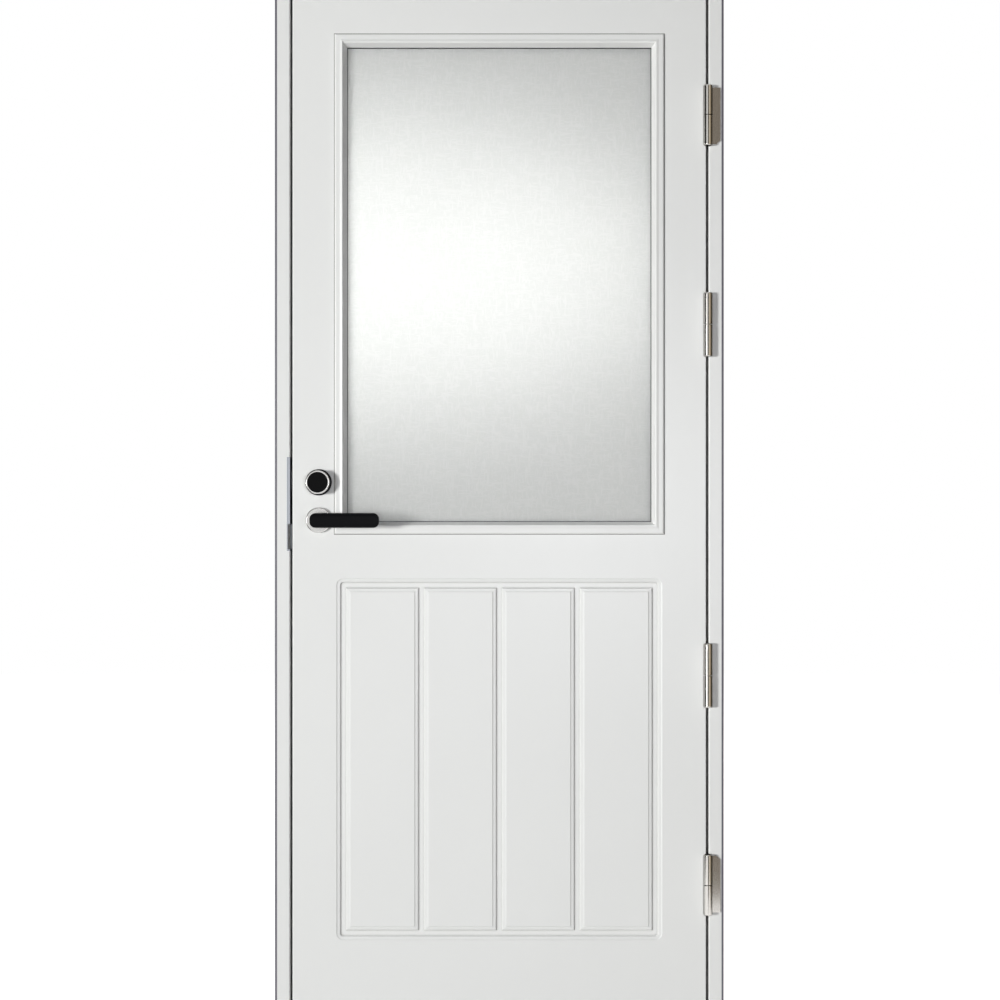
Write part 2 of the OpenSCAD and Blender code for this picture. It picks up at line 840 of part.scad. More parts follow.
module inner_pane() {
    color("#dfe8e6") at_face() pane(pane_y + pane_t + pane_space);
}

module pane_spacer() {
    color(steel) at_face() rect_ring(sight_w, sight_h, window_mid_z, spacer_in,
        glass_lap - 2 * spacer_in, pane_y + pane_t, pane_y + pane_t + pane_space);
}

module gasket() {
    rect_ring(sight_w, sight_h, window_mid_z, gasket_in, glass_lap, gasket_y, pane_y);
}

module outer_gasket() {
    color(rubber) at_face() gasket();
}

module inner_gasket() {
    color(rubber) at_face() on_inner_side() gasket();
}

module glass_blocks() {
    color(black) at_face() for (sx = [-1, 1])
        box([sx * block_x - block_l / 2, pane_y, window_z0],
            [sx * block_x + block_l / 2, pane_y + unit_t, window_z0 + glass_gap]);
}

// Glazing bead: X outward from the sight line, Y inward from the leaf's face
module bead_section() {
    shoulder = bead_slope_w + bead_quirk_w;
    ledge_y = -bead_proud + bead_quirk_h;
    flat_y = -bead_proud + bead_fall_h;
    polygon([[0, gasket_y], [0, gasket_y - bead_foot], [bead_slope_w, ledge_y], [shoulder, ledge_y],
        [shoulder, -bead_proud], [shoulder + bead_fall_w, flat_y], [bead_w - bead_r, flat_y],
        [bead_w, flat_y + bead_r], [bead_w, 0], [bead_inner_w - bead_play, 0],
        [bead_inner_w - bead_play, gasket_y]]);
    translate([bead_w - bead_r, flat_y + bead_r]) intersection() {
        circle(bead_r);
        mirror([0, 1]) square(bead_r);
    }
}

module bead(side) {
    ring_side(sight_w, sight_h, window_mid_z, side, 0, bead_w) bead_section();
}

module outer_bead_bottom() { color(white) at_face() bead(0); }
module outer_bead_left() { color(white) at_face() bead(1); }
module outer_bead_top() { color(white) at_face() bead(2); }
module outer_bead_right() { color(white) at_face() bead(3); }
module inner_bead_bottom() { color(white) at_face() on_inner_side() bead(0); }
module inner_bead_left() { color(white) at_face() on_inner_side() bead(1); }
module inner_bead_top() { color(white) at_face() on_inner_side() bead(2); }
module inner_bead_right() { color(white) at_face() on_inner_side() bead(3); }

// Knuckle standing on its split face, with a rounded far end and a blind bore
module knuckle(l, bore_r) {
    rotate_extrude() {
        translate([knuckle_r - knuckle_end_r, l - knuckle_end_r]) intersection() {
            circle(knuckle_end_r);
            square(knuckle_end_r);
        }
        polygon([[bore_r, 0], [knuckle_r, 0], [knuckle_r, l - knuckle_end_r],
            [knuckle_r - knuckle_end_r, l - knuckle_end_r], [knuckle_r - knuckle_end_r, l], [0, l],
            [0, pin_bore_l], [bore_r, pin_bore_l]]);
    }
}

// Plate let into the edge of the leaf or the rebate; as a recess it also clears the tie's way out
module hinge_plate(i, x, tie, recess = false) {
    l = hinge_l[i];
    y0 = recess ? -over : knuckle_gap;
    box([x, y0, hinge_z[i] - l / 2], [x + plate_t, plate_reach, hinge_z[i] + l / 2]);
    if (tie > 0)
        box([x, plate_tie_y, hinge_z[i] + split_gap / 2], [x + plate_t, y0 + over, hinge_z[i] + l / 2]);
    if (tie < 0)
        box([x, plate_tie_y, hinge_z[i] - l / 2], [x + plate_t, y0 + over, hinge_z[i] - split_gap / 2]);
}

// Places children at every hinge screw of one side, pointing in direction s along X
module at_hinge_screws(x, s) {
    for (i = [0:3], k = [-1:1])
        translate([x, plate_screw_y[k + 1], hinge_z[i] + k * (hinge_l[i] / 2 - plate_screw_end)])
            rotate([0, 90 * s, 0]) children();
}

module hinge_leaf_half(i) {
    color(steel) at_face() difference() {
        union() {
            translate([hinge_x, hinge_y, hinge_z[i] + split_gap / 2])
                knuckle((hinge_l[i] - split_gap) / 2, pin_r + pin_play);
            hinge_plate(i, leaf_x - plate_t, 1);
        }
        at_hinge_screws(leaf_x, -1) wood_screw_hole(leaf_screw_l);
    }
}

// Plate of the end hinges on the frame's face, tied to the lower knuckle, with one corner cut off
module face_plate(i) {
    z = hinge_z[i];
    translate([face_plate_x, 0, z]) mirror([0, 0, i == 0 ? 1 : 0]) rotate([90, 0, 0])
        linear_extrude(face_plate_t) polygon([[0, -face_plate_half], [face_plate_w, -face_plate_half],
            [face_plate_w, face_plate_half - face_plate_cut], [face_plate_w - face_plate_cut, face_plate_half],
            [0, face_plate_half]]);
    box([rebate_x, -face_plate_t, z - face_plate_half], [face_plate_x + over, 0, z - split_gap / 2]);
}

module hinge_frame_half(i) {
    color(has_face_plate[i] ? dark_steel : steel) at_face() difference() {
        union() {
            translate([hinge_x, hinge_y, hinge_z[i] - split_gap / 2]) mirror([0, 0, 1])
                knuckle((hinge_l[i] - split_gap) / 2, pin_r);
            hinge_plate(i, rebate_x, -1);
            if (has_face_plate[i]) face_plate(i);
        }
        at_hinge_screws(rebate_x, 1) wood_screw_hole(frame_screw_l);
    }
}

module hinge_1_leaf_half() { hinge_leaf_half(0); }
module hinge_2_leaf_half() { hinge_leaf_half(1); }
module hinge_3_leaf_half() { hinge_leaf_half(2); }
module hinge_4_leaf_half() { hinge_leaf_half(3); }
module hinge_1_frame_half() { hinge_frame_half(0); }
module hinge_2_frame_half() { hinge_frame_half(1); }
module hinge_3_frame_half() { hinge_frame_half(2); }
module hinge_4_frame_half() { hinge_frame_half(3); }

module hinge_pins() {
    color(steel) at_face() for (z = hinge_z) translate([hinge_x, hinge_y, z - pin_l])
        rotate_extrude() polygon([[0, 0], [pin_r, 0], [pin_r, 2 * pin_l - pin_edge],
            [pin_r - pin_edge, 2 * pin_l], [0, 2 * pin_l]]);
}

// Places children at the lever's axis, or at the cylinder's
module at_lever() { translate([lock_x, 0, lever_z]) children(); }
module at_cylinder() { translate([lock_x, 0, cylinder_z]) children(); }

module lock_case() {
    front = -leaf_x + forend_t;
    color(steel) at_face() difference() {
        box([front, case_y, case_z0], [case_x1, case_y + case_t, case_z1]);
        box([front - over, case_y + case_wall, case_z0 + case_wall],
            [case_x1 - case_wall, case_y + case_t - case_wall, case_z1 - case_wall]);
        at_lever() rod(trunnion_r + neck_play, 0, leaf_t);
        at_cylinder() rod(shaft_r + neck_play, 0, leaf_t);
    }
}

module forend() {
    bolt_half = bolt_t / 2 + bolt_play;
    color(steel) at_face() difference() {
        forend_bar(-leaf_x, -leaf_x + forend_t, 0);
        for (b = [[latch_z, latch_h / 2], [bolt_z, bolt_h / 2]])
            box([-leaf_x - over, mid_y - bolt_half, b[0] - b[1] - bolt_play],
                [-leaf_x + forend_t + over, mid_y + bolt_half, b[0] + b[1] + bolt_play]);
        at_forend_screws() wood_screw_hole(leaf_screw_l);
    }
}

// Latch bolt: a bevelled head, and a yoke that passes over the hub to a lug behind the arm's tip
module latch_bolt() {
    y0 = mid_y - bolt_t / 2;
    y1 = mid_y + bolt_t / 2;
    lug_x = lock_x + arm_half + lug_gap + latch_throw;
    color(steel) at_face() {
        translate([0, 0, latch_z - latch_h / 2]) linear_extrude(latch_h)
            polygon([[-leaf_x, y0], [-leaf_x + latch_l, y0], [-leaf_x + latch_l, y1],
                [-leaf_x + latch_bevel, y1], [-leaf_x, y0 + latch_nose]]);
        box([yoke_x0, yoke_y, latch_z], [yoke_x0 + yoke_web, yoke_y + yoke_t, yoke_z1]);
        box([yoke_x0, yoke_y, yoke_z0], [lug_x + lug_w, yoke_y + yoke_t, yoke_z1]);
        box([lug_x, mid_y - arm_t / 2, lug_z0], [lug_x + lug_w, yoke_y + yoke_t, yoke_z1 - lug_end]);
    }
}

// Dead bolt: a plain head, and a tail above the shaft with a slot for the cam's pin
module dead_bolt() {
    head_x1 = -leaf_x + bolt_l;
    slot_x = lock_x + cam_l * sin(45);
    slot_half = cam_pin_r + cam_slot_play;
    color(steel) at_face() difference() {
        union() {
            box([-leaf_x, mid_y - bolt_t / 2, bolt_z - bolt_h / 2],
                [head_x1, mid_y + bolt_t / 2, bolt_z + bolt_h / 2]);
            box([head_x1 - over, mid_y - tail_t, tail_z0],
                [slot_x + slot_half + cam_slot_wall, mid_y, bolt_z + bolt_h / 2]);
        }
        box([slot_x - slot_half, mid_y - tail_t - over, tail_z0 - over],
            [slot_x + slot_half, mid_y + over, cylinder_z + cam_l + cam_pin_r + cam_gap]);
    }
}

// Hub that the spindle turns, with the arm that draws the latch bolt back
module follower() {
    a = spindle_a + 2 * fit_play;
    color(steel) at_face() at_lever() difference() {
        union() {
            rod(trunnion_r, case_y, case_y + case_t);
            rod(hub_r, mid_y - hub_t / 2, mid_y + hub_t / 2);
            box([-arm_half, mid_y - arm_t / 2, 0], [arm_half, mid_y + arm_t / 2, arm_l]);
            translate([0, 0, arm_l]) rod(arm_half, mid_y - arm_t / 2, mid_y + arm_t / 2);
        }
        box([-a / 2, case_y - over, -a / 2], [a / 2, case_y + case_t + over, a / 2]);
    }
}

module spindle() {
    a = spindle_a / 2;
    color(steel) at_face() at_lever()
        box([-a, -spindle_reach, -a], [a, leaf_t + spindle_reach, a]);
}

// Disc on the leaf with a rounded front edge, a sleeve into the leaf and a bore
module rose(r, t, bore_r) {
    rotate([-90, 0, 0]) rotate_extrude() difference() {
        union() {
            translate([0, -t]) square([r - rose_edge, t]);
            translate([0, rose_edge - t]) square([r, t - rose_edge]);
            translate([r - rose_edge, rose_edge - t]) circle(rose_edge);
            square([sleeve_r, sleeve_l]);
        }
        translate([0, -t - over]) square([bore_r, t + sleeve_l + 2 * over]);
    }
}

module outer_rose() {
    color(steel) at_face() at_lever() rose(rose_r, rose_t, neck_r + neck_play);
}

module inner_rose() {
    color(steel) at_face() on_inner_side() at_lever() rose(rose_r, rose_t, neck_r + neck_play);
}

// Lever: a round neck through the rose and a flat bar inside the grip
module lever() {
    a = spindle_a + 2 * fit_play;
    difference() {
        union() {
            rod(neck_r, grip_y, sleeve_l - neck_short);
            box([0, grip_y - bar_t / 2, -bar_h / 2],
                [grip_l - grip_tail - bar_margin, grip_y + bar_t / 2, bar_h / 2]);
        }
        box([-a / 2, -spindle_reach - spindle_end, -a / 2], [a / 2, leaf_t, a / 2]);
    }
}

// Grip: a long rounded bar round the lever, made from its front and end outlines
module grip() {
    mid_x = grip_l / 2 - grip_tail;
    difference() {
        translate([mid_x, grip_y, 0]) intersection() {
            rotate([90, 0, 0]) linear_extrude(grip_t + 2 * over, center = true)
                round_rect(grip_l, grip_h, grip_end_r);
            rotate([90, 0, 90]) linear_extrude(grip_l + 2 * over, center = true)
                round_rect(grip_t, grip_h, grip_r);
        }
        rod(neck_r + fit_play, grip_y, 0);
        box([0, grip_y - bar_t / 2 - fit_play, -bar_h / 2 - fit_play],
            [grip_l - grip_tail - bar_margin + fit_play, grip_y + bar_t / 2 + fit_play,
            bar_h / 2 + fit_play]);
    }
}

module outer_lever() { color(steel) at_face() at_lever() lever(); }
module inner_lever() { color(steel) at_face() on_inner_side() at_lever() lever(); }
module outer_grip() { color(black) at_face() at_lever() grip(); }
module inner_grip() { color(black) at_face() on_inner_side() at_lever() grip(); }

module knob_ring() {
    color(steel) at_face() at_cylinder() rose(ring_r, ring_t, shaft_r + neck_play);
}

module knob_body() {
    back = ring_t + knob_gap;
    color(steel) at_face() at_cylinder() rotate([90, 0, 0]) rotate_extrude() difference() {
        union() {
            translate([0, back]) square([knob_r, knob_front - back - knob_edge]);
            translate([0, back]) square([knob_r - knob_edge, knob_front - back]);
            translate([knob_r - knob_edge, knob_front - knob_edge]) circle(knob_edge);
        }
        translate([0, back - over])
            square([shaft_r + fit_play, shaft_in_knob + fit_play - back + over]);
        translate([0, knob_front - face_recess]) square([knob_face_r, face_recess + over]);
    }
}

module knob_face() {
    color(black) at_face() at_cylinder() rod(knob_face_r - fit_play, -knob_front + face_set_back,
        -knob_front + face_recess);
}

// Shaft from the knob to the thumbturn, with the cam that moves the dead bolt
module cylinder_core() {
    color(steel) at_face() at_cylinder() {
        rod(shaft_r, -shaft_in_knob, leaf_t + shaft_in_knob);
        rotate([0, 45, 0]) {
            box([-cam_half, mid_y + cam_gap, 0], [cam_half, mid_y + tail_t, cam_l]);
            translate([0, 0, cam_l]) rod(cam_half, mid_y + cam_gap, mid_y + tail_t);
            translate([0, 0, cam_l]) rod(cam_pin_r, mid_y - tail_t, mid_y + tail_t);
        }
    }
}

module thumbturn() {
    back = rose_t + knob_gap;
    color(steel) at_face() on_inner_side() at_cylinder() difference() {
        union() {
            rod(turn_base_r, -back - turn_base_h, -back);
            translate([0, -back - turn_base_h, 0]) rotate([90, 0, 0]) linear_extrude(turn_bar_h)
                round_rect(turn_w, turn_l, turn_w / 2 - turn_edge);
        }
        rod(shaft_r + fit_play, -shaft_in_knob - fit_play, 0);
    }
}

module thumbturn_ring() {
    color(steel) at_face() on_inner_side() at_cylinder() rose(ring_r, rose_t, shaft_r + neck_play);
}

jamb_lock_side();
jamb_hinge_side();
head();
sill();
sill_cover();
frame_seal();
corner_screws();
strike_plate();
frame_screws();
outer_skin();
inner_skin();
lock_stile();
hinge_stile();
top_rail();
lock_rail();
bottom_rail();
panel_core();
leaf_screws();
outer_pane();
inner_pane();
pane_spacer();
outer_gasket();
inner_gasket();
glass_blocks();
outer_bead_bottom();
outer_bead_left();
outer_bead_top();
outer_bead_right();
inner_bead_bottom();
inner_bead_left();
inner_bead_top();
inner_bead_right();
hinge_1_leaf_half();
hinge_2_leaf_half();
hinge_3_leaf_half();
hinge_4_leaf_half();
hinge_1_frame_half();
hinge_2_frame_half();
hinge_3_frame_half();
hinge_4_frame_half();
hinge_pins();
lock_case();
forend();
latch_bolt();
dead_bolt();
follower();
spindle();
outer_rose();
inner_rose();
outer_lever();
inner_lever();
outer_grip();
inner_grip();
knob_ring();
knob_body();
knob_face();
cylinder_core();
thumbturn();
thumbturn_ring();
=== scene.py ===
import math

import bmesh
import bpy
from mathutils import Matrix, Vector


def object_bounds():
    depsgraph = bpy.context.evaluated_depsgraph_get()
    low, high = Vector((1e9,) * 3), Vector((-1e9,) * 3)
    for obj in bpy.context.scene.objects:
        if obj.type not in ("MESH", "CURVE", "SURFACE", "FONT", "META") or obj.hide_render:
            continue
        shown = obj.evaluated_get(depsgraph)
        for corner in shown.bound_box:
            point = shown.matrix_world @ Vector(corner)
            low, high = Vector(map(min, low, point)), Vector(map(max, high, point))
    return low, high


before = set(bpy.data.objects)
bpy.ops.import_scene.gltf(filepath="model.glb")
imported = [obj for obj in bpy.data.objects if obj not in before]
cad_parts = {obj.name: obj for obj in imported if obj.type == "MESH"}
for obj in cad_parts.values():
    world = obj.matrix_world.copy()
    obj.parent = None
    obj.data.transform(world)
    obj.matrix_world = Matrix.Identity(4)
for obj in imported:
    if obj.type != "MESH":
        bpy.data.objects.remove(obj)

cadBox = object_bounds()
scene = bpy.context.scene
scene.view_settings.view_transform = "Standard"
print("frame loaded:", len(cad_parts), "nodes")


# ---- small helpers

def linearColor(hexText):
    # sRGB hex to the linear values that the shaders take
    channels = []
    for start in (1, 3, 5):
        value = int(hexText[start:start + 2], 16) / 255
        channels.append(value / 12.92 if value <= 0.04045 else ((value + 0.055) / 1.055) ** 2.4)
    return (*channels, 1.0)


def addNode(tree, kind, settings=None, links=None):
    # one node; settings name its own values or its sockets, links name the outputs that feed it
    node = tree.nodes.new("ShaderNode" + kind)
    for name, value in (settings or {}).items():
        if isinstance(name, int) or name in node.inputs:
            node.inputs[name].default_value = value
        else:
            setattr(node, name, value)
    for name, source in (links or {}).items():
        tree.links.new(source, node.inputs[name])
    return node


def newMaterial(name):
    # a material with a bare principled shader, its tree and the object coordinates
    material = bpy.data.materials.new(name)
    material.use_nodes = True
    tree = material.node_tree
    shader = tree.nodes["Principled BSDF"]
    place = addNode(tree, "TexCoord").outputs["Object"]
    return material, tree, shader, place


def assignMaterial(material, *nodeNames):
    for nodeName in nodeNames:
        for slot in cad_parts[nodeName].material_slots:
            slot.material = material


def seenShare(tree):
    # 1 for the eye, for reflections and through glass, 0 for the light that falls on the door
    path = addNode(tree, "LightPath")
    direct = addNode(tree, "Math", {"operation": "ADD"},
                     {0: path.outputs["Is Camera Ray"], 1: path.outputs["Is Glossy Ray"]})
    seen = addNode(tree, "Math", {"operation": "ADD", "use_clamp": True},
                   {0: direct.outputs[0], 1: path.outputs["Is Transmission Ray"]})
    return seen.outputs[0]


def outsideBy(tree, place, halfM, midHeightM):
    # metres by which a spot lies outside a rectangle round the window, less than zero within it
    spot = addNode(tree, "SeparateXYZ", None, {0: place})
    fromMiddle = addNode(tree, "Math", {"operation": "ABSOLUTE"}, {0: spot.outputs["X"]})
    pastSide = addNode(tree, "Math", {"operation": "SUBTRACT", 1: halfM[0]}, {0: fromMiddle.outputs[0]})
    aboveMid = addNode(tree, "Math", {"operation": "SUBTRACT", 1: midHeightM}, {0: spot.outputs["Z"]})
    fromMid = addNode(tree, "Math", {"operation": "ABSOLUTE"}, {0: aboveMid.outputs[0]})
    pastEnd = addNode(tree, "Math", {"operation": "SUBTRACT", 1: halfM[1]}, {0: fromMid.outputs[0]})
    past = addNode(tree, "Math", {"operation": "MAXIMUM"}, {0: pastSide.outputs[0], 1: pastEnd.outputs[0]})
    return past.outputs[0]


# ---- camera: level, in front of the door, four metres from the leaf's face

cameraSettings = {
    "place": (0.0014, -4.0525, 1.041),
    "turnDegrees": (90, 0, 0),
    "lensMm": 72.65,
    "sensorMm": 36,
}

cameraData = bpy.data.cameras.new("doorCamera")
cameraData.lens = cameraSettings["lensMm"]
cameraData.sensor_width = cameraSettings["sensorMm"]
camera = bpy.data.objects.new("doorCamera", cameraData)
camera.location = cameraSettings["place"]
camera.rotation_euler = [math.radians(angle) for angle in cameraSettings["turnDegrees"]]
scene.collection.objects.link(camera)
scene.camera = camera
print("camera set")


# ---- world and floor: white to the eye and in reflections, a plain level of light for the rest

worldSettings = {"lightLevel": 0.08, "lightHex": "#fdfdff"}

world = bpy.data.worlds.new("studio")
world.use_nodes = True
scene.world = world
worldTree = world.node_tree
worldTree.nodes.clear()
lighting = addNode(worldTree, "Background", {"Color": linearColor(worldSettings["lightHex"]),
                                             "Strength": worldSettings["lightLevel"]})
backdrop = addNode(worldTree, "Background", {"Color": (1, 1, 1, 1), "Strength": 1.0})
both = addNode(worldTree, "MixShader", None,
               {0: seenShare(worldTree), 1: lighting.outputs[0], 2: backdrop.outputs[0]})
addNode(worldTree, "OutputWorld", None, {"Surface": both.outputs[0]})

floorSettings = {
    "sizeM": 16, "squares": 8,
    "belowM": 0.0005,          # a hair under the sill, so that the two faces never flicker
    "paleHex": "#c2c2c0",      # what it throws back onto the door
    "shadowShare": 0.90,       # how strongly the door's shadow shows on the white
    "whiteLevel": 0.92,        # its own glow, which joins it to the white backdrop
}

floorMesh = bpy.data.meshes.new("floor")
floorShape = bmesh.new()
bmesh.ops.create_grid(floorShape, x_segments=floorSettings["squares"], y_segments=floorSettings["squares"],
                      size=floorSettings["sizeM"] / 2)
floorShape.to_mesh(floorMesh)
floorShape.free()
floor = bpy.data.objects.new("floor", floorMesh)
floor.location = (0, 0, cadBox[0][2] - floorSettings["belowM"])
scene.collection.objects.link(floor)

floorMaterial = bpy.data.materials.new("paleFloor")
floorMaterial.use_nodes = True
floorTree = floorMaterial.node_tree
floorTree.nodes.clear()
pale = addNode(floorTree, "BsdfDiffuse", {"Color": linearColor(floorSettings["paleHex"])})
share = floorSettings["shadowShare"]
shadowed = addNode(floorTree, "BsdfDiffuse", {"Color": (share, share, share, 1)})
glow = addNode(floorTree, "Emission", {"Color": (1, 1, 1, 1), "Strength": floorSettings["whiteLevel"]})
white = addNode(floorTree, "AddShader", None, {0: shadowed.outputs[0], 1: glow.outputs[0]})
both = addNode(floorTree, "MixShader", None,
               {0: seenShare(floorTree), 1: pale.outputs[0], 2: white.outputs[0]})
addNode(floorTree, "OutputMaterial", None, {"Surface": both.outputs[0]})
floor.data.materials.append(floorMaterial)
print("world and floor set")


# ---- lamps: a broad one far off on the left at mid height models the grooves and beads, a near one
#      in front evens it out, one behind the window shows as the bright patch in the frosted glass, and
#      one far behind lights the inside; the two behind stay out of the reflections in the clear pane

lampSettings = {
    "keyLamp": {"place": (-6.4, -7.00, 1.02), "aim": (0.0, 0.0, 1.08), "sizeM": (1.9, 1.4),
                "watts": 690, "hex": "#fdfefc"},
    "frontLamp": {"place": (0.40, -2.50, 1.08), "aim": (0.05, 0.0, 1.08), "sizeM": (0.9, 0.6),
                  "watts": 13.0, "hex": "#f8faff"},
    "windowLamp": {"place": (-0.42, 0.95, 1.62), "aim": (-0.32, 0.0, 1.55), "sizeM": (1.80, 0.74),
                   "watts": 10.0, "hex": "#fffefc", "inGloss": False},
    "roomLamp": {"place": (4.6, 4.0, 2.30), "aim": (0.0, 0.0, 1.00), "sizeM": (2.2, 2.2),
                 "watts": 250, "hex": "#fffaf2", "inGloss": False},
}

for lampName, lamp in lampSettings.items():
    lampData = bpy.data.lights.new(lampName, "AREA")
    lampData.shape = "ELLIPSE"
    lampData.size, lampData.size_y = lamp["sizeM"]
    lampData.energy = lamp["watts"]
    lampData.color = linearColor(lamp["hex"])[:3]
    lampObject = bpy.data.objects.new(lampName, lampData)
    lampObject.location = lamp["place"]
    toward = Vector(lamp["aim"]) - Vector(lamp["place"])
    lampObject.rotation_euler = toward.to_track_quat("-Z", "Y").to_euler()
    lampObject.visible_camera = False
    lampObject.visible_glossy = lamp.get("inGloss", True)
    scene.collection.objects.link(lampObject)

# boards that only reflections see, out of the leaf's reach: they put the dark and light stripes into
# the hinges' polished knuckles and a middle tone into their flat plates

boardHeightM = 3.2
boardSettings = {
    "darkBoard": {"fromXy": (0.26, -1.30), "toXy": (0.49, -1.30), "hex": "#121216"},
    "plateBoard": {"fromXy": (0.49, -1.30), "toXy": (0.63, -1.30), "hex": "#9c9387"},
    "darkBoardRight": {"fromXy": (0.63, -1.30), "toXy": (0.84, -1.30), "hex": "#121216"},
    "creamBoard": {"fromXy": (0.84, -1.31), "toXy": (1.50, -1.31), "hex": "#efe4d0"},
    "creamSide": {"fromXy": (1.50, -1.31), "toXy": (1.50, -0.20), "hex": "#b3a48c"},
    "rightBoard": {"fromXy": (1.50, -0.20), "toXy": (1.50, 3.00), "hex": "#161514"},
    "greyBoard": {"fromXy": (-1.20, -1.31), "toXy": (-0.72, -1.31), "hex": "#5e5c5a"},
    "leftBoard": {"fromXy": (-1.20, -1.31), "toXy": (-1.20, 3.00), "hex": "#262628"},
}

for boardName, board in boardSettings.items():
    boardMesh = bpy.data.meshes.new(boardName)
    corners = [(*board["fromXy"], 0.0), (*board["toXy"], 0.0),
               (*board["toXy"], boardHeightM), (*board["fromXy"], boardHeightM)]
    boardMesh.from_pydata(corners, [], [(0, 1, 2, 3)])
    boardObject = bpy.data.objects.new(boardName, boardMesh)
    scene.collection.objects.link(boardObject)
    boardObject.visible_camera = False
    boardObject.visible_diffuse = False
    boardObject.visible_shadow = False
    boardObject.visible_transmission = False
    boardMaterial = bpy.data.materials.new(boardName)
    boardMaterial.use_nodes = True
    boardTree = boardMaterial.node_tree
    boardTree.nodes.clear()
    tone = addNode(boardTree, "Emission", {"Color": linearColor(board["hex"]), "Strength": 1.0})
    addNode(boardTree, "OutputMaterial", None, {"Surface": tone.outputs[0]})
    boardObject.data.materials.append(boardMaterial)
print("lamps and boards set")


# ---- satin white paint on planed timber: sprayed twice, so an even sheen with a fine orange peel,
#      and the grain just shows through along each board; the outer sides have violet grey primer, and
#      its tone also runs onto the front face's outermost millimetres as painted shade, a dark outline there

timberPaint = {
    "whiteHex": "#ebebea", "otherHex": "#e7e7e6", "toneMm": 160,
    # the primer tone also runs a few millimetres onto the front face along the outer edges: painted shade, a
    # dark outline there
    "primerEdgeShadeHex": "#5d5a66", "primerEdgeShadeFromM": 0.4400, "primerEdgeShadeFullM": 0.4412,
    "roughness": (0.34, 0.42), "sheenPatchMm": 45,
    "grainMm": 2.6, "grainLengthMm": 140, "grainDepthMm": 0.05, "grainStrength": 0.5,
    "peelMm": 2.4,             # real peel is about 1 mm; drawn coarser so that it shows
    "peelDepthMm": 0.02, "peelStrength": 0.6,
}


def paintTimber(name, grainAxis, primedShadedSides):
    material, tree, shader, place = newMaterial(name)
    across, along = 1000 / timberPaint["grainMm"], 1000 / timberPaint["grainLengthMm"]
    stretch = [across, across, across]
    stretch["xyz".index(grainAxis)] = along
    tonePattern = addNode(tree, "TexNoise", {"Scale": 1000 / timberPaint["toneMm"], "Detail": 3.0},
                          {"Vector": place})
    tone = addNode(tree, "Mix", {"data_type": "RGBA", 6: linearColor(timberPaint["whiteHex"]),
                                 7: linearColor(timberPaint["otherHex"])},
                   {0: tonePattern.outputs["Fac"]})
    color = tone.outputs[2]
    if primedShadedSides:
        spot = addNode(tree, "SeparateXYZ", None, {0: place})
        fromMiddle = addNode(tree, "Math", {"operation": "ABSOLUTE"}, {0: spot.outputs["X"]})
        side = addNode(tree, "MapRange", {"From Min": timberPaint["primerEdgeShadeFromM"],
                                          "From Max": timberPaint["primerEdgeShadeFullM"]},
                       {"Value": fromMiddle.outputs[0]})
        primedShaded = addNode(tree, "Mix", {"data_type": "RGBA", 7: linearColor(timberPaint["primerEdgeShadeHex"])},
                         {0: side.outputs[0], 6: color})
        color = primedShaded.outputs[2]
    tree.links.new(color, shader.inputs["Base Color"])
    sheenPattern = addNode(tree, "TexNoise", {"Scale": 1000 / timberPaint["sheenPatchMm"], "Detail": 4.0},
                           {"Vector": place})
    sheen = addNode(tree, "MapRange", {"To Min": timberPaint["roughness"][0],
                                       "To Max": timberPaint["roughness"][1]},
                    {"Value": sheenPattern.outputs["Fac"]})
    tree.links.new(sheen.outputs[0], shader.inputs["Roughness"])
    grainPlace = addNode(tree, "Mapping", {"Scale": stretch}, {"Vector": place})
    grain = addNode(tree, "TexNoise", {"Scale": 1.0, "Detail": 4.0, "Distortion": 0.4},
                    {"Vector": grainPlace.outputs[0]})
    grainBump = addNode(tree, "Bump", {"Strength": timberPaint["grainStrength"],
                                       "Distance": timberPaint["grainDepthMm"] / 1000},
                        {"Height": grain.outputs["Fac"]})
    peel = addNode(tree, "TexNoise", {"Scale": 1000 / timberPaint["peelMm"], "Detail": 1.0},
                   {"Vector": place})
    peelBump = addNode(tree, "Bump", {"Strength": timberPaint["peelStrength"],
                                      "Distance": timberPaint["peelDepthMm"] / 1000},
                       {"Height": peel.outputs["Fac"], "Normal": grainBump.outputs[0]})
    tree.links.new(peelBump.outputs[0], shader.inputs["Normal"])
    return material


uprightPaint = paintTimber("satinPaintUpright", "z", True)
levelPaint = paintTimber("satinPaintLevel", "x", True)
beadPaintUpright = paintTimber("beadPaintUpright", "z", False)
beadPaintLevel = paintTimber("beadPaintLevel", "x", False)
assignMaterial(uprightPaint, "jamb_lock_side", "jamb_hinge_side")
assignMaterial(levelPaint, "head")
assignMaterial(beadPaintUpright, "outer_bead_left", "outer_bead_right",
               "inner_bead_left", "inner_bead_right")
assignMaterial(beadPaintLevel, "outer_bead_top", "outer_bead_bottom",
               "inner_bead_top", "inner_bead_bottom")
print("painted timber done")


# ---- sprayed fibreboard: the leaf's two skins, smoother than the timber, no grain under the paint

skinPaint = {
    "whiteHex": "#ebebea", "otherHex": "#e8e8e7", "toneMm": 240,
    # painted shade in the next line: a darker tone laid into the hollows and the grooves' corners
    "cornerShadeHex": "#8b8a84", "cornerShadeReachMm": 6, "cornerShadeOpen": 0.92, "cornerShadeDeep": 0.45, "cornerShadeSamples": 8,
    # painted shadow in the next line: a grey line in the joint beside the glazing beads
    "jointShadowHex": "#55544f", "jointShadowMm": 1.6,
    "beadHalfM": (0.3265, 0.4955), "beadMidM": 1.469,    # outer edge of the glazing beads
    "roughness": (0.33, 0.39), "sheenPatchMm": 70,
    "peelMm": 2.0,             # coarser than the real 0.8 mm so that it shows
    "peelDepthMm": 0.014, "peelStrength": 0.6,
    "waveMm": 180, "waveDepthMm": 0.10, "waveStrength": 0.5,    # boards are never dead flat
}

